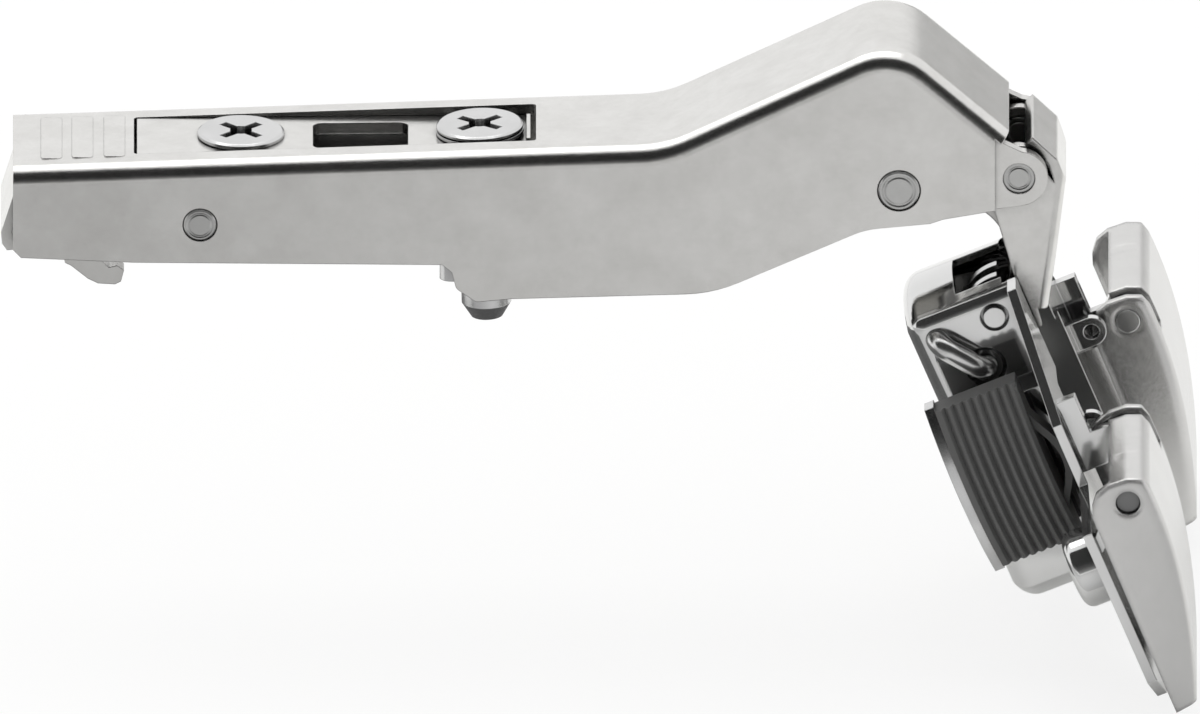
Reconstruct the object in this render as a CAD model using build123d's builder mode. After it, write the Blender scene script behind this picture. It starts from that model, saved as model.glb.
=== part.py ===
import os
from math import cos, hypot, radians, sin
from build123d import *

os.makedirs("parts", exist_ok=True)

# Sizes in mm. Side outlines are (along the arm, height).
# Cup outlines are (away from the door edge, height over the flange).
seat_x = 22.8  # arm's rear end to the depth screw, whose foot on the clip seat is the origin
arm_half = 8.5
sheet = 1.2
fold_r = 1.9
arm_top = [(0, 9.4), (65.1, 11.76), (88.23, 22.9), (99.6, 12.98)]
crank_r = 12
peak_r = 6.5
wall_end = 98.2
lug_half = 8.0
lug_r = 2.9
lug_back = 96.8
rivet_fit = 0.02
run_fit = 0.05
# lower edge of the arm's walls, from the lugs to the rear
wall_foot = [(93.0, 4.1), (91.7, 3.64), (85.2, 3.0), (70.0, -3.82), (49.8, -4.4), (46.3, -4.75)]
wall_step = [(44.3, -3.3), (43.9, -1.6), (42.9, -0.75), (12.0, -0.5), (0.8, 0), (0, 0.85)]
sag_r = 14
rise_r = 8
step_r = 0.9

outer_pivot = (100.6, 8.3)
outer_pin_r = 1.6
lug_low = 5.03
inner_pivot = (88.6, 7.2)
inner_pin_r = 2.17
tilt_pivot = (18.7, 3.53)
tilt_pin_r = 1.7
pin_proud = 0.12

cut_half = 5.1
cut_rear = 12.1
cut_r = 0.4
cut_front = 52.3
plate_half = 4.95
plate_rear = (12.4, 9.78)
plate_front = (51.75, 10.2)
channel_foot = 0.9
side_screw_x = 46.7
screw_lean = 2.07
head_r = 4.35
shank_r = 2.5
cam_throw = 2.1
cam_pin_r = 1.2

base_half = 3.4
base_wall = 1.0
base_top = 6.3
release_pivot = (3.0, 6.0)
release_pin_r = 0.9
coil_wire_r = 0.15

link_out = 6.0
link_in = 4.9
link_eye_r = 2.75
link_fold_r = 1.0
axle_eye_r = 1.9
wire_sweep_r = 7.4  # the near wall of the outer link stays this far from the deep axle
# link outlines as (share of the way between the link's pivots, distance aside)
web_shape = [(-0.203, -0.33), (-0.145, 2.94), (-0.051, 4.73), (0.356, 7.27), (0.632, 8.86)]
flat_shape = [
    (0.099, -1.98),
    (0.255, -0.41),
    (0.459, 3.01),
    (0.582, 5.0),
    (0.662, 5.49),
    (0.909, -0.6),
    (1.067, 1.37),
    (0.786, 8.15),
    (0.725, 9.04),
    (-0.057, 2.36),
    (-0.131, -0.73),
]
neck_shape = [
    (0.036, 1.19),
    (0.144, 4.55),
    (0.264, 7.02),
    (0.4, 8.25),
    (0.539, 8.22),
    (0.704, 6.97),
    (0.867, 4.87),
    (0.99, 2.15),
]
neck_half = 1.4
neck_eye_r = 3.6
slot_run = 2.1  # play of the high axle in the inner link
slot_shift = 0.84
slot_rim = 1.0
inner_half = 4.6
wire_r = 1.15

lean = 22.5  # cup flange from upright, door open
flange_reach = 91.6
cup_along = 57.2
cup_r = 17.3
cup_depth = 12.4
cup_wall = 0.7
cup_half = 10.8
panel_half = 7.4
step_at = -6.6
corner_r = 1.7
floor_r = 1.9
# one half of the flange's outline, from the door edge to the far end
ear_shape = [
    (-16.2, 9.6),
    (-4.3, 18.9),
    (2.6, 18.9),
    (3.6, 30.4),
    (20.6, 30.4),
    (23.2, 27.6),
    (23.2, 19.0),
    (17.4, 13.0),
]
flange_t = 1.0
axle_deep = (-13.3, -9.7)
axle_high = (-8.8, -6.3)
spring_pin_at = (-13.4, -3.5)
spring_pin_r = 1.1
boss_at = (9.5, 22.5)
boss_r = 4.0
boss_h = 3.4

jaw_r = 17.5
jaw_in = 12.1
jaw_foot = -11.8
jaw_top = -3.2
lever_in = 14.8
lever_out = 36.0
lever_sheet = 1.0
lever_pivot = (0, 5.4)
lever_pin_r = 1.2
tab_r = 1.85
tab_t = 1.2
tab_in = 16.15
tab_out = 28.4
tab_gap = 0.35
lip_low = 4.3
wing_end = -6.0
wing_h = 2.1
eye_at = (-1.1, 1.9)
eye_r = 1.5
eye_lane = 12.7
pin_sunk = 0.5
window_deep = 6.5
window_side = (-5.4, 2.4)
dimple_r = 2.1

along = (sin(radians(lean)), -cos(radians(lean)))
outward = (cos(radians(lean)), sin(radians(lean)))


def cup_point(a, h):
    d = flange_reach + h
    e = cup_along + a
    return (d * outward[0] + e * along[0], d * outward[1] + e * along[1])


def inset(points, gap):
    # same open line, moved to its right by the gap
    rows = []
    for i in range(len(points) - 1):
        ax, az = points[i]
        bx, bz = points[i + 1]
        run = hypot(bx - ax, bz - az)
        ux, uz = (bx - ax) / run, (bz - az) / run
        rows.append((ax + uz * gap, az - ux * gap, ux, uz, run))
    moved = [(rows[0][0], rows[0][1])]
    for first, then in zip(rows, rows[1:]):
        turn = first[2] * then[3] - first[3] * then[2]
        far = ((then[0] - first[0]) * then[3] - (then[1] - first[1]) * then[2]) / turn
        moved.append((first[0] + far * first[2], first[1] + far * first[3]))
    last = rows[-1]
    moved.append((last[0] + last[2] * last[4], last[1] + last[3] * last[4]))
    return moved


def ribbon(points, half):
    left = []
    right = []
    for i, (x, z) in enumerate(points):
        px, pz = points[max(i - 1, 0)]
        qx, qz = points[min(i + 1, len(points) - 1)]
        run = hypot(qx - px, qz - pz)
        nx, nz = -(qz - pz) / run, (qx - px) / run
        left.append((x + nx * half, z + nz * half))
        right.append((x - nx * half, z - nz * half))
    return left, right


def swing(start, end, places):
    # places are (share of the way from start to end, distance to the left of it)
    rx, rz = end[0] - start[0], end[1] - start[1]
    run = hypot(rx, rz)
    return [(start[0] + s * rx - d * rz / run, start[1] + s * rz + d * rx / run) for s, d in places]


def spot(items, *places):
    return [min(items, key=lambda v: hypot(v.X - x, v.Y - y)) for x, y in places]


side = Plane(origin=(-seat_x, 0, 0), x_dir=(1, 0, 0), z_dir=(0, -1, 0))
centre = cup_point(0, 0)
cup_side = Plane(origin=(centre[0] - seat_x, 0, centre[1]), x_dir=(along[0], 0, along[1]), z_dir=(0, -1, 0))
cup_plan = Plane(
    origin=(centre[0] - seat_x, 0, centre[1]),
    x_dir=(along[0], 0, along[1]),
    z_dir=(outward[0], 0, outward[1]),
)
plan = Plane(origin=(-seat_x, 0, 0), x_dir=(1, 0, 0), z_dir=(0, 0, 1))

# Hinge arm: cranked channel with joggled lugs
arm_under = inset(arm_top, sheet)
with BuildPart() as arm_void:
    with BuildSketch(side) as s:
        with BuildLine():
            Polyline(
                (-2, arm_under[0][1] - 2 * (arm_under[1][1] - arm_under[0][1]) / arm_under[1][0]),
                arm_under[1],
                arm_under[2],
                (arm_under[3][0] + 4, arm_under[3][1] - 3.49),
                (arm_under[3][0] + 4, -14),
                (-2, -14),
                close=True,
            )
        make_face()
        fillet(spot(s.vertices(), arm_under[1]), crank_r + sheet)
        fillet(spot(s.vertices(), arm_under[2]), peak_r - sheet)
    extrude(amount=arm_half - sheet, both=True)

with BuildPart() as hinge_arm:
    with BuildSketch(side) as s:
        with BuildLine():
            Polyline(
                *arm_top,
                arm_under[3],
                (wall_end, arm_under[3][1] + (arm_under[3][0] - wall_end) * 0.872),
                (wall_end, lug_low),
                *wall_foot,
                *wall_step,
                close=True,
            )
        make_face()
        fillet(spot(s.vertices(), arm_top[1]), crank_r)
        fillet(spot(s.vertices(), arm_top[2]), peak_r)
        fillet(spot(s.vertices(), wall_foot[3]), sag_r)
        fillet(spot(s.vertices(), wall_foot[2]), rise_r)
        fillet(spot(s.vertices(), wall_foot[5], wall_step[0]), step_r)
    extrude(amount=arm_half, both=True)
    rim = [
        e
        for e in hinge_arm.edges()
        if abs(abs(e.center().Y) - arm_half) < 0.01
        and e.center().Z > 10
        and e.center().X < wall_end - 0.5 - seat_x
    ]
    fillet(rim, fold_r)
    add(arm_void.part, mode=Mode.SUBTRACT)
    for turn in (-1, 1):
        with BuildSketch(side.offset(turn * lug_half)):
            with Locations(outer_pivot):
                Circle(lug_r)
            with BuildLine():
                Polyline(
                    (lug_back, lug_low - 0.27),
                    (wall_end, lug_low),
                    (outer_pivot[0] + 0.5, outer_pivot[1] - lug_r + 0.04),
                    (outer_pivot[0] + 1.9, outer_pivot[1] + 2.1),
                    (wall_end + 1.0, outer_pivot[1] + 3.7),
                    (lug_back, outer_pivot[1] + 5.3),
                    close=True,
                )
            make_face()
        extrude(amount=-turn * sheet)
    with BuildSketch(plan.offset(8)):
        with Locations(((cut_rear + cut_front) / 2, 0)):
            RectangleRounded(cut_front - cut_rear, 2 * cut_half, cut_r)
    extrude(amount=6, mode=Mode.SUBTRACT)
    with BuildSketch(side):
        with Locations(tilt_pivot):
            Circle(tilt_pin_r + run_fit)
        with Locations(inner_pivot):
            Circle(inner_pin_r + rivet_fit)
        with Locations(outer_pivot):
            Circle(outer_pin_r + rivet_fit)
    extrude(amount=arm_half + 1, both=True, mode=Mode.SUBTRACT)
    for pad in (3.85, 6.95, 10.15):
        with BuildSketch(plan.offset(9.4 + pad * 0.03625 - 0.1)):
            with Locations((pad, 0)):
                RectangleRounded(2.1, 11.4, 0.4)
        extrude(amount=0.18)
hinge_arm.part.label = "hinge_arm"
export_step(hinge_arm.part, "parts/hinge_arm.step")

# Adjusting channel in the arm's top cut-out
plate_rise = (plate_front[1] - plate_rear[1]) / (plate_front[0] - plate_rear[0])
with BuildPart() as adjusting_channel:
    with BuildSketch(side):
        with BuildLine():
            Polyline(
                plate_rear,
                plate_front,
                (plate_front[0], channel_foot + 1.5),
                (plate_front[0] - 1.5, channel_foot),
                (plate_rear[0] + 1.5, channel_foot),
                (plate_rear[0], channel_foot + 1.5),
                close=True,
            )
        make_face()
    extrude(amount=plate_half, both=True)
    with BuildSketch(side):
        with BuildLine():
            Polyline(
                (plate_rear[0] - 1, plate_rear[1] - sheet - plate_rise),
                (plate_front[0] + 1, plate_front[1] - sheet + plate_rise),
                (plate_front[0] + 1, -1),
                (plate_rear[0] - 1, -1),
                close=True,
            )
        make_face()
    extrude(amount=plate_half - sheet, both=True, mode=Mode.SUBTRACT)
    with BuildSketch(plan.offset(plate_front[1] - 0.6)):
        with Locations((plate_front[0] - 0.2, 0)):
            Rectangle(0.4, 6.8)
    extrude(amount=1.3)
    with BuildSketch(plan.offset(7)):
        with Locations((34.75, -0.3)):
            RectangleRounded(9.5, 7.0, 0.9)
        with Locations((seat_x, 0)):
            Circle(shank_r + 0.3)
        with Locations((side_screw_x, 0)):
            Circle(shank_r + 0.3)
    extrude(amount=6, mode=Mode.SUBTRACT)
    with BuildSketch(side):
        with Locations(tilt_pivot):
            Circle(tilt_pin_r + rivet_fit)
    extrude(amount=plate_half + 1, both=True, mode=Mode.SUBTRACT)
adjusting_channel.part.label = "adjusting_channel"
export_step(adjusting_channel.part, "parts/adjusting_channel.step")

with BuildPart() as tilt_pin:
    with BuildSketch(side):
        with Locations(tilt_pivot):
            Circle(tilt_pin_r)
    extrude(amount=arm_half + pin_proud, both=True)
    chamfer(tilt_pin.edges().filter_by(GeomType.CIRCLE), 0.2)
tilt_pin.part.label = "tilt_pin"
export_step(tilt_pin.part, "parts/tilt_pin.step")

# Depth cam: cross-recess head, neck, cam disc and eccentric pin
cam_head = plate_rear[1] + (seat_x - plate_rear[0]) * plate_rise + 0.08
with BuildPart() as depth_cam:
    with BuildSketch(Plane.XZ):
        with BuildLine():
            Polyline(
                (0, cam_head + 0.5),
                (head_r - 0.25, cam_head + 0.5),
                (head_r, cam_head + 0.3),
                (head_r, cam_head),
                (shank_r, cam_head),
                (shank_r, cam_head - 1.5),
                (3.4, cam_head - 1.5),
                (3.4, 6.9),
                (0, 6.9),
                close=True,
            )
        make_face()
    revolve(axis=Axis.Z)
    with BuildSketch(Plane.XY.offset(6.9)):
        with Locations((0, cam_throw)):
            Circle(cam_pin_r)
    extrude(amount=-2.6)
    with BuildSketch(Plane.XY.offset(cam_head + 0.5)):
        Rectangle(5.2, 1.0, rotation=45)
        Rectangle(5.2, 1.0, rotation=-45)
        Circle(1.1)
    extrude(amount=-1.3, taper=8, mode=Mode.SUBTRACT)
depth_cam.part.label = "depth_cam"
export_step(depth_cam.part, "parts/depth_cam.step")

# Side screw: two-flange head, plain shank, tapered foot
screw_dir = (-sin(radians(screw_lean)), cos(radians(screw_lean)))
screw_axis = Plane(
    origin=(side_screw_x - seat_x, 0, 10.3),
    x_dir=(screw_dir[1], 0, -screw_dir[0]),
    z_dir=(screw_dir[0], 0, screw_dir[1]),
)
screw_cut = Plane(origin=screw_axis.origin, x_dir=screw_axis.x_dir, z_dir=(0, -1, 0))
with BuildPart() as side_screw:
    with BuildSketch(screw_cut):
        with BuildLine():
            Polyline(
                (0, 0.95),
                (head_r - 0.25, 0.95),
                (head_r, 0.75),
                (head_r, 0.55),
                (head_r - 0.5, 0.5),
                (head_r - 0.5, 0.4),
                (head_r + 0.05, 0.35),
                (head_r + 0.05, 0.05),
                (shank_r, 0.05),
                (shank_r, -18.1),
                (1.6, -19.6),
                (0, -19.6),
                close=True,
            )
        make_face()
    revolve(axis=Axis(screw_axis.origin, screw_axis.z_dir))
    with BuildSketch(screw_axis.offset(0.95)):
        Rectangle(5.2, 1.0, rotation=40)
        Rectangle(5.2, 1.0, rotation=-40)
        Circle(1.1)
    extrude(amount=-1.3, taper=8, mode=Mode.SUBTRACT)
side_screw.part.label = "side_screw"
export_step(side_screw.part, "parts/side_screw.step")

# Threaded bush that the side screw turns in, held between the arm's walls
nut_low = -3.0
with BuildPart() as side_nut:
    with BuildSketch(plan.offset(nut_low)):
        with Locations((side_screw_x + 0.45, 0)):
            RectangleRounded(9.0, 2 * (arm_half - sheet) - 0.02, 1.2)
    extrude(amount=2.6)
    with BuildSketch(plan.offset(nut_low)):
        with Locations((side_screw_x + 0.45, 0)):
            Circle(shank_r + 0.45)
    extrude(amount=2.6, mode=Mode.SUBTRACT)
side_nut.part.label = "side_nut"
export_step(side_nut.part, "parts/side_nut.step")

# Clip base: seat channel for the mounting plate
with BuildPart() as clip_base:
    with BuildSketch(side):
        with BuildLine():
            Polyline(
                (13.0, 0),
                (41.0, 0),
                (41.0, base_top),
                (5.2, base_top),
                (4.2, base_top + 0.9),
                (2.0, base_top + 0.9),
                (1.9, base_top - 1.0),
                (4.0, 3.0),
                (11.0, 1.2),
                close=True,
            )
        make_face()
    extrude(amount=base_half, both=True)
    with BuildSketch(side):
        with Locations((20, 5)):
            Rectangle(60, 2 * (5 - base_wall))
    extrude(amount=base_half - base_wall, both=True, mode=Mode.SUBTRACT)
    with BuildSketch(side):
        with Locations(tilt_pivot):
            SlotOverall(2 * (tilt_pin_r + 2.0), 2 * (tilt_pin_r + 0.3))
        with Locations((seat_x, base_top)):
            Rectangle(2 * cam_pin_r + 0.7, 4.4)
        with Locations(release_pivot):
            Circle(release_pin_r + rivet_fit)
    extrude(amount=base_half + 1, both=True, mode=Mode.SUBTRACT)
clip_base.part.label = "clip_base"
export_step(clip_base.part, "parts/clip_base.step")

with BuildPart() as release_pin:
    with BuildSketch(side):
        with Locations(release_pivot):
            Circle(release_pin_r)
    extrude(amount=base_half, both=True)
release_pin.part.label = "release_pin"
export_step(release_pin.part, "parts/release_pin.step")

# Release lever: rear flap with curled lip, and the hook below
lever_crown = 7.5
with BuildPart() as release_lever:
    with BuildSketch(side):
        with BuildLine():
            Polyline(
                (0.5, lever_crown),
                (1.4, lever_crown),
                (-0.1, 2.0),
                (0.5, 1.1),
                (0.3, 0.2),
                (-0.6, 0.1),
                (-1.1, 0.8),
                (-1.2, 2.0),
                close=True,
            )
        make_face()
    extrude(amount=6.6, both=True)
    with BuildSketch(side):
        with BuildLine():
            Polyline(
                (0.9, lever_crown),
                (3.9, lever_crown),
                (4.7, 6.4),
                (6.6, 1.6),
                (8.3, -2.6),
                (9.6, -3.9),
                (10.4, -3.7),
                (11.1, -4.2),
                (10.8, -5.4),
                (10.2, -5.7),
                (8.5, -5.6),
                (7.5, -5.1),
                (5.8, -3.7),
                (5.2, -3.4),
                (4.1, 1.0),
                (2.6, 4.4),
                (0.4, 5.6),
                close=True,
            )
        make_face()
    extrude(amount=1.0, both=True)
    with BuildSketch(side):
        with Locations(release_pivot):
            Circle(release_pin_r + run_fit)
    extrude(amount=2, both=True, mode=Mode.SUBTRACT)
release_lever.part.label = "release_lever"
export_step(release_lever.part, "parts/release_lever.step")

coil_r = release_pin_r + rivet_fit + coil_wire_r
with BuildPart() as release_spring:
    with BuildLine() as coil:
        Helix(
            pitch=0.36,
            height=0.72,
            radius=coil_r,
            center=(release_pivot[0] - seat_x, 1.35, release_pivot[1]),
            direction=(0, 1, 0),
        )
    with BuildSketch(Plane(origin=coil.line @ 0, z_dir=coil.line % 0)):
        Circle(coil_wire_r)
    sweep(path=coil.line)
release_spring.part.label = "release_spring"
export_step(release_spring.part, "parts/release_spring.step")

# Rivets of the links
with BuildPart() as inner_link_pin:
    with BuildSketch(side):
        with Locations(inner_pivot):
            Circle(inner_pin_r)
    extrude(amount=arm_half + pin_proud, both=True)
    chamfer(inner_link_pin.edges().filter_by(GeomType.CIRCLE), 0.25)
inner_link_pin.part.label = "inner_link_pin"
export_step(inner_link_pin.part, "parts/inner_link_pin.step")

with BuildPart() as outer_link_pins:
    for turn in (-1, 1):
        with BuildSketch(side.offset(turn * (lug_half - 0.2))):
            with Locations(outer_pivot):
                Circle(outer_pin_r)
        extrude(amount=-turn * (lug_half - 0.2 - link_in))
outer_link_pins.part.label = "outer_link_pins"
export_step(outer_link_pins.part, "parts/outer_link_pins.step")

# Outer link: folded channel with its hood over the pivot; the far wall runs on to the deep axle
deep = cup_point(*axle_deep)
high = cup_point(*axle_high)
web_line = swing(outer_pivot, deep, web_shape)
web_back = inset(web_line, link_out - link_in)
near_edge = swing(outer_pivot, deep, flat_shape)
web_mid = ((web_line[2][0] + web_line[3][0]) / 2 - seat_x, (web_line[2][1] + web_line[3][1]) / 2)
with BuildPart() as outer_link:
    with BuildSketch(side):
        with BuildLine():
            Polyline(*web_line, *reversed(web_back), close=True)
        make_face()
    extrude(amount=link_out, both=True)
    fold = [
        e
        for e in outer_link.edges()
        if abs(abs(e.center().Y) - link_out) < 0.01
        and hypot(e.center().X - web_mid[0], e.center().Z - web_mid[1]) < 0.4
    ]
    fillet(fold, link_fold_r)
    for turn in (-1, 1):
        with BuildSketch(side.offset(turn * link_out)):
            with Locations(outer_pivot):
                Circle(link_eye_r)
            with BuildLine():
                Polyline(*near_edge[:9], web_back[4], web_back[3], web_back[2], *near_edge[9:], close=True)
            make_face()
            with Locations(deep):
                Circle(axle_eye_r)
        extrude(amount=-turn * (link_out - link_in))
    with BuildSketch(side):
        with Locations(outer_pivot):
            Circle(outer_pin_r + run_fit)
        with Locations(deep):
            Circle(wire_r + run_fit)
    extrude(amount=link_out + 1, both=True, mode=Mode.SUBTRACT)
    with BuildSketch(side):
        with Locations(deep):
            Circle(wire_sweep_r)
    extrude(amount=link_out + 1, mode=Mode.SUBTRACT)
outer_link.part.label = "outer_link"
export_step(outer_link.part, "parts/outer_link.step")

# Inner link: goose-neck between the outer link's walls, slotted at the high axle
slot_mid = (high[0] + slot_shift, high[1])
neck_left, neck_right = ribbon(swing(inner_pivot, high, neck_shape), neck_half)
slot_wide = 2 * wire_r + 0.5
with BuildPart() as inner_link:
    with BuildSketch(side):
        with BuildLine():
            Spline(*neck_left)
            Line(neck_left[-1], neck_right[-1])
            Spline(*reversed(neck_right))
            Line(neck_right[0], neck_left[0])
        make_face()
        with Locations(inner_pivot):
            Circle(neck_eye_r)
        with Locations(slot_mid):
            SlotOverall(2 * wire_r + slot_run + 2 * slot_rim, slot_wide + 2 * slot_rim)
    extrude(amount=inner_half, both=True)
    with BuildSketch(side):
        with Locations(inner_pivot):
            Circle(inner_pin_r + run_fit)
        with Locations(slot_mid):
            SlotOverall(2 * wire_r + slot_run, slot_wide)
    extrude(amount=inner_half + 1, both=True, mode=Mode.SUBTRACT)
inner_link.part.label = "inner_link"
export_step(inner_link.part, "parts/inner_link.step")

# Cup with flange, ears, drawn bosses and lever brackets
with BuildPart() as cup:
    with BuildSketch(cup_plan.offset(-flange_t)):
        with BuildLine():
            Polyline(*ear_shape, *[(a, -y) for a, y in reversed(ear_shape)], close=True)
        make_face()
    extrude(amount=flange_t)
    for trim, how in ((0, Mode.ADD), (cup_wall, Mode.SUBTRACT)):
        half = panel_half - trim
        wide = cup_half - trim
        reach = cup_r - trim
        rear = -((reach * reach - half * half) ** 0.5)
        front = (reach * reach - wide * wide) ** 0.5
        with BuildSketch(cup_plan.offset(-cup_depth + trim)) as s:
            with BuildLine():
                ThreePointArc((rear, -half), (-reach, 0), (rear, half))
                Polyline((rear, half), (step_at + trim, half), (step_at + 0.5 + trim, wide), (front, wide))
                ThreePointArc((front, wide), (reach, 0), (front, -wide))
                Polyline(
                    (front, -wide),
                    (step_at + 0.5 + trim, -wide),
                    (step_at + trim, -half),
                    (rear, -half),
                )
            make_face()
            fillet(spot(s.vertices(), (rear, half), (rear, -half)), corner_r - trim)
        extrude(amount=cup_depth, mode=how)
        floor_rim = [
            e
            for e in cup.edges()
            if abs(cup_plan.to_local_coords(e.center()).Z + cup_depth - trim) < 0.01
            and abs(cup_plan.to_local_coords(e.center()).X) < cup_r
        ]
        fillet(floor_rim, floor_r - trim)
    for turn in (-1, 1):
        with BuildSketch(cup_plan.offset(-flange_t)):
            with Locations((boss_at[0], turn * boss_at[1])):
                Circle(boss_r)
        extrude(amount=-boss_h)
        with BuildSketch(cup_side.offset(turn * tab_in)):
            with Locations(lever_pivot):
                Circle(tab_r)
            with BuildLine():
                Polyline(
                    (wing_end, -flange_t / 2),
                    (tab_r, -flange_t / 2),
                    (tab_r, lever_pivot[1]),
                    (-tab_r, lever_pivot[1]),
                    (-tab_r, wing_h),
                    (wing_end, wing_h),
                    close=True,
                )
            make_face()
            with Locations(lever_pivot):
                Circle(lever_pin_r + rivet_fit, mode=Mode.SUBTRACT)
        extrude(amount=turn * tab_t)
        with BuildSketch(cup_side.offset(turn * tab_out)):
            with Locations(lever_pivot):
                Circle(tab_r)
            with BuildLine():
                Polyline(
                    (4.9, -flange_t / 2),
                    (6.8, -flange_t / 2),
                    (0.57, 5.97),
                    (-0.57, 4.83),
                    close=True,
                )
            make_face()
            with Locations(lever_pivot):
                Circle(lever_pin_r + rivet_fit, mode=Mode.SUBTRACT)
        extrude(amount=turn * tab_t)
        with BuildSketch(cup_side.offset(turn * eye_lane)):
            with Locations(eye_at):
                Circle(eye_r)
            with BuildLine():
                Polyline(
                    (eye_at[0] - eye_r, -flange_t / 2),
                    (eye_at[0] + eye_r, -flange_t / 2),
                    (eye_at[0] + eye_r, eye_at[1]),
                    (eye_at[0] - eye_r, eye_at[1]),
                    close=True,
                )
            make_face()
            with Locations(eye_at):
                Circle(eye_r - 0.7, mode=Mode.SUBTRACT)
        extrude(amount=turn * 0.9)
    boss_ends = [
        e
        for e in cup.edges().filter_by(GeomType.CIRCLE)
        if abs(cup_plan.to_local_coords(e.center()).Z + flange_t + boss_h) < 0.01
    ]
    fillet(boss_ends, 1.0)
    with BuildSketch(cup_side):
        with Locations(axle_deep, axle_high):
            Circle(wire_r + rivet_fit)
        with Locations(spring_pin_at):
            Circle(spring_pin_r + 0.35)
    extrude(amount=panel_half + 1, both=True, mode=Mode.SUBTRACT)
    with BuildSketch(cup_plan):
        with Locations((-15, 0)):
            Rectangle(6, 12.6)
    extrude(amount=-1.6, mode=Mode.SUBTRACT)
    with BuildSketch(cup_plan.offset(-window_deep)):
        with Locations((-cup_r, (window_side[0] + window_side[1]) / 2)):
            Rectangle(4, window_side[1] - window_side[0])
    extrude(amount=window_deep, mode=Mode.SUBTRACT)
    with BuildSketch(cup_side.offset(panel_half)):
        with Locations(axle_high):
            Circle(dimple_r)
    extrude(amount=-cup_wall * 0.6, taper=45, mode=Mode.SUBTRACT)
cup.part.label = "cup"
export_step(cup.part, "parts/cup.step")

# U-bent axle wire: long leg through the outer link, short leg through the inner link
bend_at = 8.75
with BuildPart() as axle_wire:
    with BuildLine() as bent:
        a = cup_side.from_local_coords((axle_deep[0], axle_deep[1], 0))
        b = cup_side.from_local_coords((axle_high[0], axle_high[1], 0))
        FilletPolyline(
            (a.X, panel_half - cup_wall - 0.1, a.Z),
            (a.X, -bend_at, a.Z),
            (b.X, -bend_at, b.Z),
            (b.X, inner_half, b.Z),
            radius=1.5,
        )
    with BuildSketch(Plane(origin=bent.line @ 0, z_dir=bent.line % 0)):
        Circle(wire_r)
    sweep(path=bent.line)
axle_wire.part.label = "axle_wire"
export_step(axle_wire.part, "parts/axle_wire.step")

with BuildPart() as spring_pins:
    for turn in (-1, 1):
        with BuildSketch(cup_side.offset(turn * (panel_half + 0.25))):
            with Locations(spring_pin_at):
                Circle(spring_pin_r)
        extrude(amount=-turn * (panel_half + 0.25 - 6.2))
        with BuildSketch(cup_side.offset(turn * (panel_half - cup_wall - 0.12))):
            with Locations(spring_pin_at):
                Circle(spring_pin_r + 0.45)
        extrude(amount=-turn * 0.4)
spring_pins.part.label = "spring_pins"
export_step(spring_pins.part, "parts/spring_pins.step")

# Closing spring: two S-bent strips joined at the foot
leaf = [(-14.5, -6.9), (-14.9, -5.9), (-15.75, -4.8), (-16.25, -3.4), (-16.3, -2.0)]
leaf_left, leaf_right = ribbon(leaf, 0.25)
with BuildPart() as closing_spring:
    for lane in (-4.9, -1.9):
        with BuildSketch(cup_side.offset(-lane)):
            with BuildLine():
                Spline(*leaf_left)
                Line(leaf_left[-1], leaf_right[-1])
                Spline(*reversed(leaf_right))
                Line(leaf_right[0], leaf_left[0])
            make_face()
        extrude(amount=-1.1)
    with BuildSketch(cup_side.offset(4.9)):
        with Locations((-14.45, -7.0)):
            Circle(0.45)
    extrude(amount=-4.1)
closing_spring.part.label = "closing_spring"
export_step(closing_spring.part, "parts/closing_spring.step")

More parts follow.
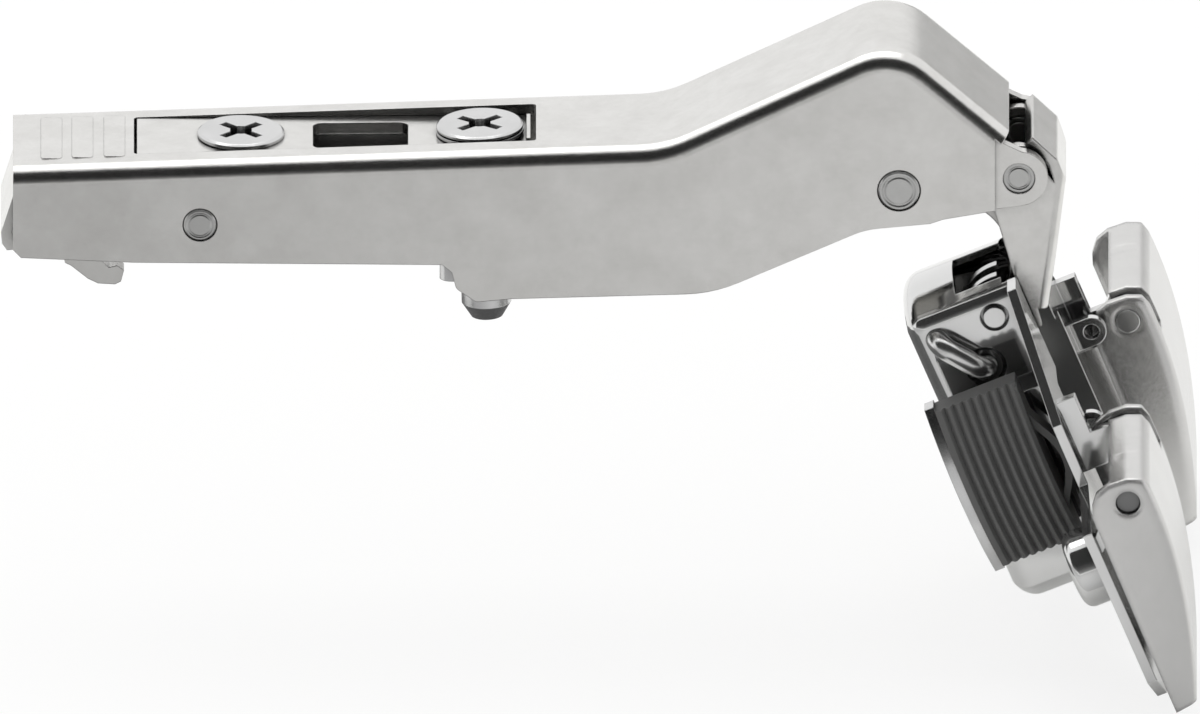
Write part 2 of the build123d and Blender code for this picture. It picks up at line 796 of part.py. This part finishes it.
# Clamping jaws with ribbed faces, their backing strips, flip levers and pins, one of each side
rib = (jaw_top - jaw_foot) / 9
teeth = [(jaw_r - 0.05, jaw_foot)]
for i in range(9):
    teeth.append((jaw_r, jaw_foot + (i + 0.35) * rib))
    teeth.append((jaw_r, jaw_foot + (i + 0.65) * rib))
    teeth.append((jaw_r - 0.45, jaw_foot + (i + 1) * rib))
strap = [(-8.4, -3.5), (-4.6, -3.3), (-1.6, -1.9), (0.4, -1.55), (2.2, -1.9), (4.4, -3.1), (8.4, -3.7)]
strap_left, strap_right = ribbon(strap, 0.36)
web_top = [(-0.7, 8.0), (7.2, 7.6), (15.0, 6.0), (22.3, 3.6)]
roll = [(0.2, 1.5), (-0.9, 1.9), (-2.0, 2.8), (-2.5, 4.2), (-2.4, 6.2), (-1.8, 7.6)]
for name, turn in (("near", -1), ("far", 1)):
    with BuildPart() as jaw:
        with BuildSketch(cup_side):
            with BuildLine():
                Polyline((8, jaw_foot), *teeth, (8, jaw_top), close=True)
            make_face()
        revolve(axis=Axis(cup_plan.origin, cup_plan.z_dir))
        with BuildSketch(cup_side.offset(-turn * jaw_in)):
            Rectangle(17.8, 60)
        extrude(amount=-turn * 10, mode=Mode.INTERSECT)
        with BuildSketch(cup_side.offset(-turn * (jaw_in + 0.8))):
            with BuildLine():
                Spline(*strap_left)
                Line(strap_left[-1], strap_right[-1])
                Spline(*reversed(strap_right))
                Line(strap_right[0], strap_left[0])
            make_face()
        extrude(amount=-turn * 2.4)
    jaw.part.label = "jaw_" + name
    export_step(jaw.part, "parts/jaw_" + name + ".step")

    with BuildPart() as jaw_strip:
        with BuildSketch(cup_plan.offset(jaw_foot)):
            Circle(jaw_r - 0.35)
        extrude(amount=-1.0)
        with BuildSketch(cup_side.offset(-turn * (jaw_in + 0.3))):
            Rectangle(18.6, 60)
        extrude(amount=-turn * 10, mode=Mode.INTERSECT)
    jaw_strip.part.label = "jaw_strip_" + name
    export_step(jaw_strip.part, "parts/jaw_strip_" + name + ".step")

    with BuildPart() as flip_lever:
        with BuildSketch(cup_side.offset(-turn * lever_in)):
            with BuildLine():
                Polyline(*roll, web_top[0])
                Spline(*web_top)
                Polyline(web_top[-1], (22.6, 1.3), (19.5, 1.3), roll[0])
            make_face()
        extrude(amount=-turn * (lever_out - lever_in))
        corners = [
            e
            for e in flip_lever.edges()
            if min(abs(abs(e.center().Y) - lever_in), abs(abs(e.center().Y) - lever_out)) < 0.01
            and cup_side.to_local_coords(e.center()).Y > 5
            and cup_side.to_local_coords(e.center()).X > 4
        ]
        fillet(corners, 0.8)
        with BuildSketch(cup_side.offset(-turn * (lever_in + lever_sheet))):
            with BuildLine():
                Polyline(
                    (-4.0, 0),
                    (-4.0, lip_low),
                    (-1.5, lip_low),
                    (-1.5, 6.2),
                    (-0.9, 6.95),
                    (-0.3, 7.0),
                )
                Spline((-0.3, 7.0), (7.1, 6.6), (14.7, 5.0), (21.4, 2.9))
                Polyline((21.4, 2.9), (21.5, 0), (-4.0, 0))
            make_face()
        extrude(amount=-turn * (lever_out - lever_in - 2 * lever_sheet), mode=Mode.SUBTRACT)
        with BuildSketch(cup_side.offset(-turn * (lever_in + lever_sheet))):
            with Locations((-2.0, lever_pivot[1])):
                Rectangle(2 * (tab_r + tab_gap + 2.0), 12)
        extrude(amount=-turn * (tab_in + tab_t + tab_gap - lever_in - lever_sheet), mode=Mode.SUBTRACT)
        with BuildSketch(cup_side.offset(-turn * (tab_out - tab_gap))):
            with Locations(lever_pivot):
                Circle(tab_r + 0.2)
        extrude(amount=-turn * (tab_t + 2 * tab_gap), mode=Mode.SUBTRACT)
        with BuildSketch(cup_side):
            with Locations(lever_pivot):
                Circle(lever_pin_r + run_fit)
        extrude(amount=-turn * (lever_out + 1), mode=Mode.SUBTRACT)
    flip_lever.part.label = "flip_lever_" + name
    export_step(flip_lever.part, "parts/flip_lever_" + name + ".step")

    with BuildPart() as lever_pin:
        with BuildSketch(cup_side.offset(-turn * (lever_in - 0.1))):
            with Locations(lever_pivot):
                Circle(lever_pin_r)
        extrude(amount=-turn * (lever_out - lever_in - pin_sunk + 0.1))
    lever_pin.part.label = "lever_pin_" + name
    export_step(lever_pin.part, "parts/lever_pin_" + name + ".step")
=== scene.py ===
import math
import bpy
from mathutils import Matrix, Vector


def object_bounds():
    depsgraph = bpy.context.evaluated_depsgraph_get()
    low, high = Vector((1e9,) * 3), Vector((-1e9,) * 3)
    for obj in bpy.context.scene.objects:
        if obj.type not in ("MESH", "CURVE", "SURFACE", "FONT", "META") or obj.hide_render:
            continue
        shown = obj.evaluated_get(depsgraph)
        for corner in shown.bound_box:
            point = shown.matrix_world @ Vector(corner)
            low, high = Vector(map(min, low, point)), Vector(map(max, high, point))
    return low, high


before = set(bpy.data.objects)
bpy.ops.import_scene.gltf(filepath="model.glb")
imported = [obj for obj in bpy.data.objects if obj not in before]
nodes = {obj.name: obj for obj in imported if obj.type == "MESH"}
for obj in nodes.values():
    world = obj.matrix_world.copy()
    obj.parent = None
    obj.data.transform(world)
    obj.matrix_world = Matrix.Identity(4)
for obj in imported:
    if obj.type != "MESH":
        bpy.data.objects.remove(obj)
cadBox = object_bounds()
scene = bpy.context.scene
scene.view_settings.view_transform = "Standard"
print("frame loaded,", len(nodes), "pieces")


def newMaterial(name):
    made = bpy.data.materials.new(name)
    made.use_nodes = True
    tree = made.node_tree
    return made, tree, tree.nodes["Principled BSDF"]


# values go to the node's sockets where it has one of that name, else to its settings
def addNode(tree, kind, **values):
    made = tree.nodes.new(kind)
    for key, value in values.items():
        if key in made.inputs:
            made.inputs[key].default_value = value
        else:
            setattr(made, key, value)
    return made


# turned groove round a pin's end, 0 in the groove and 1 beside it
def turnedGroove(tree, place, pin, groove):
    corners = [tuple(corner) for corner in pin.bound_box]
    least, most = ([pick(c[i] for c in corners) for i in range(3)] for pick in (min, max))
    radius = (most[0] - least[0]) / 2
    fromAxis = addNode(tree, "ShaderNodeVectorMath", operation="SUBTRACT")
    fromAxis.inputs[1].default_value = [(a + b) / 2 for a, b in zip(least, most)]
    across = addNode(tree, "ShaderNodeVectorMath", operation="MULTIPLY")
    across.inputs[1].default_value = (1, 0, 1)  # the pins lie along Y
    length = addNode(tree, "ShaderNodeVectorMath", operation="LENGTH")
    away = addNode(tree, "ShaderNodeMath", operation="SUBTRACT")
    away.inputs[1].default_value = groove["at"] * radius
    apart = addNode(tree, "ShaderNodeMath", operation="ABSOLUTE")
    step = addNode(tree, "ShaderNodeMapRange", interpolation_type="SMOOTHSTEP")
    step.inputs["From Max"].default_value = groove["wide"] * radius
    tree.links.new(place.outputs["Object"], fromAxis.inputs[0])
    tree.links.new(fromAxis.outputs["Vector"], across.inputs[0])
    tree.links.new(across.outputs["Vector"], length.inputs[0])
    tree.links.new(length.outputs["Value"], away.inputs[0])
    tree.links.new(away.outputs[0], apart.inputs[0])
    tree.links.new(apart.outputs[0], step.inputs["Value"])
    return step.outputs["Result"]


# plated metal: mottled tone, painted shade in nooks, rolled grain and softened edges
def platedMetal(name, look, pin=None):
    made, tree, shader = newMaterial(name)
    shader.inputs["Metallic"].default_value = look["metal"]
    place = addNode(tree, "ShaderNodeTexCoord")
    blotch = addNode(tree, "ShaderNodeTexNoise", Scale=look["blotchScale"], Detail=8.0)
    blotch.inputs["Roughness"].default_value = look["mottle"]
    tree.links.new(place.outputs["Object"], blotch.inputs["Vector"])
    tone = addNode(tree, "ShaderNodeMix", data_type="RGBA")
    tone.inputs["A"].default_value = (*look["dark"], 1)
    tone.inputs["B"].default_value = (*look["light"], 1)
    tree.links.new(blotch.outputs["Fac"], tone.inputs["Factor"])

    # painted shade: ambient occlusion darkens the base colour in deep corners, slots and gaps
    # between parts
    nook = addNode(tree, "ShaderNodeAmbientOcclusion", samples=6, Distance=look["nook"])
    paintedShadeLevel = addNode(tree, "ShaderNodeMapRange")
    paintedShadeLevel.inputs["From Min"].default_value = 0.1
    paintedShadeLevel.inputs["From Max"].default_value = 0.8
    paintedShadeLevel.inputs["To Min"].default_value = look["paintedShadeTone"]
    tree.links.new(nook.outputs["AO"], paintedShadeLevel.inputs["Value"])
    shade = addNode(tree, "ShaderNodeMix", data_type="RGBA", blend_type="MULTIPLY")
    shade.inputs["Factor"].default_value = 1.0
    tree.links.new(tone.outputs["Result"], shade.inputs["A"])
    tree.links.new(paintedShadeLevel.outputs["Result"], shade.inputs["B"])
    tree.links.new(shade.outputs["Result"], shader.inputs["Base Color"])

    # grain drawn out along the strip, as rolling leaves it
    drawn = addNode(tree, "ShaderNodeMapping", vector_type="POINT")
    drawn.inputs["Scale"].default_value = (look["drawnOut"], 1.0, 1.0)
    tree.links.new(place.outputs["Object"], drawn.inputs["Vector"])
    fine = addNode(tree, "ShaderNodeTexNoise", Scale=look["grainScale"], Detail=5.0, Roughness=0.6)
    tree.links.new(drawn.outputs["Vector"], fine.inputs["Vector"])
    rough = addNode(tree, "ShaderNodeMapRange")
    rough.inputs["To Min"].default_value = look["rough"][0]
    rough.inputs["To Max"].default_value = look["rough"][1]
    tree.links.new(fine.outputs["Fac"], rough.inputs["Value"])
    tree.links.new(rough.outputs["Result"], shader.inputs["Roughness"])

    soft = addNode(tree, "ShaderNodeBevel", samples=6)
    soft.inputs["Radius"].default_value = look["edge"]
    relief = addNode(tree, "ShaderNodeBump", Strength=look["relief"], Distance=0.00005)
    tree.links.new(fine.outputs["Fac"], relief.inputs["Height"])
    tree.links.new(soft.outputs["Normal"], relief.inputs["Normal"])
    tree.links.new(relief.outputs["Normal"], shader.inputs["Normal"])

    if pin:
        ring = turnedGroove(tree, place, pin, look["groove"])
        dish = addNode(tree, "ShaderNodeBump", Strength=look["groove"]["deep"], Distance=0.0002)
        tree.links.new(ring, dish.inputs["Height"])
        tree.links.new(relief.outputs["Normal"], dish.inputs["Normal"])
        tree.links.new(dish.outputs["Normal"], shader.inputs["Normal"])
    return made


def mouldedPlastic(name, look):
    made, tree, shader = newMaterial(name)
    place = addNode(tree, "ShaderNodeTexCoord")
    cloud = addNode(tree, "ShaderNodeTexNoise", Scale=look["cloudScale"], Detail=3.0)
    tree.links.new(place.outputs["Object"], cloud.inputs["Vector"])
    tone = addNode(tree, "ShaderNodeMix", data_type="RGBA")
    tone.inputs["A"].default_value = (*look["dark"], 1)
    tone.inputs["B"].default_value = (*look["light"], 1)
    tree.links.new(cloud.outputs["Fac"], tone.inputs["Factor"])
    tree.links.new(tone.outputs["Result"], shader.inputs["Base Color"])
    shader.inputs["Roughness"].default_value = look["rough"]
    grain = addNode(tree, "ShaderNodeTexNoise", Scale=look["grainScale"], Detail=2.0)
    tree.links.new(place.outputs["Object"], grain.inputs["Vector"])
    relief = addNode(tree, "ShaderNodeBump", Strength=look["relief"], Distance=0.00004)
    tree.links.new(grain.outputs["Fac"], relief.inputs["Height"])
    tree.links.new(relief.outputs["Normal"], shader.inputs["Normal"])
    return made


# arm, adjusting plate and release lever
satinLook = {
    "metal": 1.0,
    # painted shade in hollows: how far it reaches and its darkest tone
    "nook": 0.006,
    "paintedShadeTone": 0.06,
    "dark": (0.58, 0.57, 0.55),
    "light": (0.86, 0.855, 0.84),
    "blotchScale": 200.0,
    "mottle": 0.72,
    "grainScale": 2600.0,
    "drawnOut": 0.3,
    "rough": (0.16, 0.28),
    "relief": 0.15,
    "edge": 0.00015,
}
satin = platedMetal("satinNickel", satinLook)

# flip levers, with a wide soft edge along their rolls
leverLook = {
    **satinLook,
    "dark": (0.59, 0.585, 0.575),
    "light": (0.71, 0.705, 0.695),
    "nook": 0.004,
    "drawnOut": 0.8,
    "relief": 0.16,
    "edge": 0.0010,
}
levers = platedMetal("leverNickel", leverLook)

linkLook = {**satinLook, "blotchScale": 320.0, "drawnOut": 0.5, "edge": 0.0004}
links = platedMetal("linkNickel", linkLook)

# cup, drawn and brightly plated
brightLook = {
    "metal": 0.97,
    # painted shade in hollows: how far it reaches and its darkest tone
    "nook": 0.004,
    "paintedShadeTone": 0.2,
    "dark": (0.68, 0.68, 0.675),
    "light": (0.78, 0.78, 0.775),
    "blotchScale": 220.0,
    "mottle": 0.45,
    "grainScale": 1500.0,
    "drawnOut": 0.5,
    "rough": (0.05, 0.13),
    "relief": 0.03,
    "edge": 0.00015,
}
bright = platedMetal("brightNickel", brightLook)

wireLook = {**brightLook, "rough": (0.16, 0.24), "edge": 0.0002}
wire = platedMetal("wireNickel", wireLook)

# sunk end of the near lever's axle, the bright plating darkened as painted shade for the shade in
# its hole
nearPinShadeLook = {
    **brightLook,
    "dark": (0.16, 0.16, 0.16),
    "light": (0.26, 0.26, 0.26),
    "rough": (0.2, 0.3),
}
nearPinPaintedShade = platedMetal("nearPinPaintedShade", nearPinShadeLook)

# screws, nut, clip base and jaw strips
zincLook = {
    "metal": 1.0,
    # painted shade in hollows: how far it reaches and its darkest tone
    "nook": 0.003,
    "paintedShadeTone": 0.25,
    "dark": (0.58, 0.58, 0.58),
    "light": (0.73, 0.73, 0.73),
    "blotchScale": 260.0,
    "mottle": 0.5,
    "grainScale": 3000.0,
    "drawnOut": 0.6,
    "rough": (0.14, 0.30),
    "relief": 0.06,
    "edge": 0.00012,
}
zinc = platedMetal("zincPlate", zincLook)

springLook = {
    "metal": 1.0,
    # painted shade in hollows: how far it reaches and its darkest tone
    "nook": 0.001,
    "paintedShadeTone": 0.5,
    "dark": (0.56, 0.56, 0.56),
    "light": (0.70, 0.70, 0.70),
    "blotchScale": 300.0,
    "mottle": 0.5,
    "grainScale": 2500.0,
    "drawnOut": 0.6,
    "rough": (0.12, 0.26),
    "relief": 0.05,
    "edge": 0.00008,
}
springSteel = platedMetal("springSteel", springLook)

jawLook = {
    "dark": (0.080, 0.080, 0.079),
    "light": (0.105, 0.105, 0.103),
    "cloudScale": 300.0,
    "grainScale": 4500.0,
    "rough": 0.5,
    "relief": 0.25,
}
jawPlastic = mouldedPlastic("jawPlastic", jawLook)

# rivets, each with a turned groove on its ends
rivetLook = {
    "metal": 1.0,
    # painted shade in hollows: how far it reaches and its darkest tone
    "nook": 0.001,
    "paintedShadeTone": 0.3,
    "dark": (0.50, 0.50, 0.49),
    "light": (0.62, 0.62, 0.61),
    "blotchScale": 420.0,
    "mottle": 0.72,
    "grainScale": 2200.0,
    "drawnOut": 1.0,
    "rough": (0.24, 0.38),
    "relief": 0.07,
    "edge": 0.00016,
    "groove": {"at": 0.70, "wide": 0.12, "deep": 0.45},  # shares of the rivet's radius, and strength
}

finishes = {
    "hinge_arm": satin,
    "adjusting_channel": satin,
    "depth_cam": zinc,
    "side_screw": zinc,
    "side_nut": zinc,
    "tilt_pin": platedMetal("rearRivet", rivetLook, nodes["tilt_pin"]),
    "inner_link_pin": platedMetal("largeRivet", rivetLook, nodes["inner_link_pin"]),
    "outer_link_pins": platedMetal("lugRivets", rivetLook, nodes["outer_link_pins"]),
    "outer_link": links,
    "inner_link": links,
    "cup": bright,
    "axle_wire": wire,
    "spring_pins": bright,
    "closing_spring": springSteel,
    "jaw_near": jawPlastic,
    "jaw_far": jawPlastic,
    "jaw_strip_near": zinc,
    "jaw_strip_far": zinc,
    "flip_lever_near": levers,
    "flip_lever_far": levers,
    # painted shade: the near pin's end is darkened, the far pin stays bright
    "lever_pin_near": nearPinPaintedShade,
    "lever_pin_far": bright,
    "release_lever": satin,
    "release_pin": zinc,
    "release_spring": springSteel,
    "clip_base": zinc,
}
for nodeName, finish in finishes.items():
    slots = nodes[nodeName].data.materials
    slots.clear()
    slots.append(finish)
print("materials done")


def flatPanel(name, corners, finish):
    mesh = bpy.data.meshes.new(name)
    mesh.from_pydata(corners, [], [tuple(range(len(corners)))])
    made = bpy.data.objects.new(name, mesh)
    made.data.materials.append(finish)
    scene.collection.objects.link(made)
    return made


# corners of a level panel
def levelCorners(x0, x1, y0, y1, z):
    return [(x0, y0, z), (x1, y0, z), (x1, y1, z), (x0, y1, z)]


floorLook = {
    "drop": 0.0016,  # gap under the lowest point of the hinge
    "half": 6.0,
    "colour": (0.90, 0.90, 0.89),
    "whiteShare": 0.8,  # what the camera sees as plain white, the rest takes the shadow
}


def floorMaterial():
    made, tree, shader = newMaterial("floor")
    shader.inputs["Base Color"].default_value = (*floorLook["colour"], 1)
    shader.inputs["Roughness"].default_value = 0.9
    shader.inputs["Specular IOR Level"].default_value = 0.1
    ray = addNode(tree, "ShaderNodeLightPath")
    glow = addNode(tree, "ShaderNodeEmission", Strength=1.0)
    share = addNode(tree, "ShaderNodeMath", operation="MULTIPLY")
    share.inputs[1].default_value = floorLook["whiteShare"]
    blendIn = addNode(tree, "ShaderNodeMixShader")
    tree.links.new(ray.outputs["Is Camera Ray"], share.inputs[0])
    tree.links.new(share.outputs[0], blendIn.inputs["Fac"])
    tree.links.new(shader.outputs["BSDF"], blendIn.inputs[1])
    tree.links.new(glow.outputs["Emission"], blendIn.inputs[2])
    tree.links.new(blendIn.outputs["Shader"], tree.nodes["Material Output"].inputs["Surface"])
    return made


floorZ = cadBox[0][2] - floorLook["drop"]
half = floorLook["half"]
flatPanel("floor", levelCorners(-half, half, -half, half, floorZ), floorMaterial())


# grey that changes along X, Y or Z through the given stops
def greyAlong(tree, shader, along, stops):
    place = addNode(tree, "ShaderNodeTexCoord")
    split = addNode(tree, "ShaderNodeSeparateXYZ")
    tree.links.new(place.outputs["Object"], split.inputs["Vector"])
    first, last = stops[0][0], stops[-1][0]
    share = addNode(tree, "ShaderNodeMapRange")
    share.inputs["From Min"].default_value = first
    share.inputs["From Max"].default_value = last
    tree.links.new(split.outputs[along], share.inputs["Value"])
    ramp = addNode(tree, "ShaderNodeValToRGB")
    while len(ramp.color_ramp.elements) < len(stops):
        ramp.color_ramp.elements.new(0.5)
    for element, (at, grey) in zip(ramp.color_ramp.elements, stops):
        element.position = (at - first) / (last - first)
        element.color = (grey, grey, grey, 1)
    tree.links.new(share.outputs["Result"], ramp.inputs["Fac"])
    tree.links.new(ramp.outputs["Color"], shader.inputs["Base Color"])


# card that only reflections see, in one grey or in stops along one direction
def reflectedCard(name, corners, look):
    made, tree, shader = newMaterial(name)
    shader.inputs["Roughness"].default_value = 0.9
    if "stops" in look:
        greyAlong(tree, shader, look["along"], look["stops"])
    else:
        grey = look["grey"]
        shader.inputs["Base Color"].default_value = (grey, grey, grey, 1)
    card = flatPanel(name, corners, made)
    card.visible_camera = False
    card.visible_shadow = False
    card.visible_diffuse = False


# leans behind the camera and draws the dark line along the arm's folds
darkLook = {
    "along": "Z",
    "stops": [(0.05, 0.34), (0.33, 0.08), (0.6, 0.006)],
    "half": 3.0,
    "foot": (-1.6, 0.05),  # Y and Z of the lower edge
    "head": (-0.5, 1.7),
}
half = darkLook["half"]
darkCorners = [
    (-half, *darkLook["foot"]),
    (half, *darkLook["foot"]),
    (half, *darkLook["head"]),
    (-half, *darkLook["head"]),
]
reflectedCard("darkCard", darkCorners, darkLook)

# lies in front of the arm and gives its side the grey, paler towards the cup
greyLook = {
    "along": "X",
    "stops": [(-0.02, 0.47), (0.078, 0.71), (0.086, 0.70), (0.094, 0.60)],
    "half": 2.0,
    "front": -1.5,
    "back": -0.035,
    "lift": 0.001,
}
half = greyLook["half"]
sheetZ = floorZ + greyLook["lift"]
greyCorners = levelCorners(-half, half, greyLook["front"], greyLook["back"], sheetZ)
reflectedCard("greySheet", greyCorners, greyLook)

# dark sheet right under the arm, painted shade standing in for the shade there, which the hook and
# the screw's foot reflect
paintedUnderShadeLook = {"grey": 0.12, "alongArm": (-0.05, 0.055), "behind": 0.08}
paintedUnderShadeCorners = levelCorners(*paintedUnderShadeLook["alongArm"], greyLook["back"], paintedUnderShadeLook["behind"], sheetZ)
reflectedCard("paintedUnderShadeSheet", paintedUnderShadeCorners, paintedUnderShadeLook)

# stands low at the back right, for the sloped end and the levers
paleLook = {"grey": 0.55, "across": (0.28, 1.9), "behind": 1.4, "top": 0.32}
left, right = paleLook["across"]
paleCorners = [
    (left, paleLook["behind"], floorZ),
    (right, paleLook["behind"], floorZ),
    (right, paleLook["behind"], paleLook["top"]),
    (left, paleLook["behind"], paleLook["top"]),
]
reflectedCard("paleCard", paleCorners, paleLook)
print("floor and cards done")

# white to the camera and in reflections, a little dimmer as light
worldLook = {"light": 0.92, "seen": 1.0}
world = bpy.data.worlds.new("studioWorld")
world.use_nodes = True
scene.world = world
sky = world.node_tree
rays = addNode(sky, "ShaderNodeLightPath")
anyView = addNode(sky, "ShaderNodeMath", operation="MAXIMUM")
anyGlass = addNode(sky, "ShaderNodeMath", operation="MAXIMUM")
sky.links.new(rays.outputs["Is Camera Ray"], anyView.inputs[0])
sky.links.new(rays.outputs["Is Glossy Ray"], anyView.inputs[1])
sky.links.new(anyView.outputs[0], anyGlass.inputs[0])
sky.links.new(rays.outputs["Is Transmission Ray"], anyGlass.inputs[1])
level = addNode(sky, "ShaderNodeMapRange")
level.inputs["To Min"].default_value = worldLook["light"]
level.inputs["To Max"].default_value = worldLook["seen"]
sky.links.new(anyGlass.outputs[0], level.inputs["Value"])
sky.nodes["Background"].inputs["Color"].default_value = (1, 1, 1, 1)
sky.links.new(level.outputs["Result"], sky.nodes["Background"].inputs["Strength"])

lampLook = {
    "power": 2.6,
    "size": (0.9, 0.6),
    "place": (-0.1, 0.25, 0.9),
    "turn": (-15, -6, 0),  # degrees
}
lamp = bpy.data.lights.new("key", "AREA")
lamp.shape = "RECTANGLE"
lamp.size, lamp.size_y = lampLook["size"]
lamp.energy = lampLook["power"]
lampObject = bpy.data.objects.new("key", lamp)
lampObject.location = lampLook["place"]
lampObject.rotation_euler = [math.radians(turn) for turn in lampLook["turn"]]
scene.collection.objects.link(lampObject)
print("lights done")

view = {
    "aim": (0.0359, 0.0, -0.01387),
    "elevation": 21.0,
    "width": 0.120,
    "distance": 1.2,
    "farthest": 20.0,
}
rise = math.radians(view["elevation"])
eye = bpy.data.cameras.new("camera")
eye.type = "ORTHO"
eye.ortho_scale = view["width"]
eye.clip_end = view["farthest"]
eyeObject = bpy.data.objects.new("camera", eye)
eyeObject.location = (
    view["aim"][0],
    view["aim"][1] - view["distance"] * math.cos(rise),
    view["aim"][2] + view["distance"] * math.sin(rise),
)
eyeObject.rotation_euler = (math.radians(90.0 - view["elevation"]), 0, 0)
scene.collection.objects.link(eyeObject)
scene.camera = eyeObject
print("camera done")

bpy.context.view_layer.update()
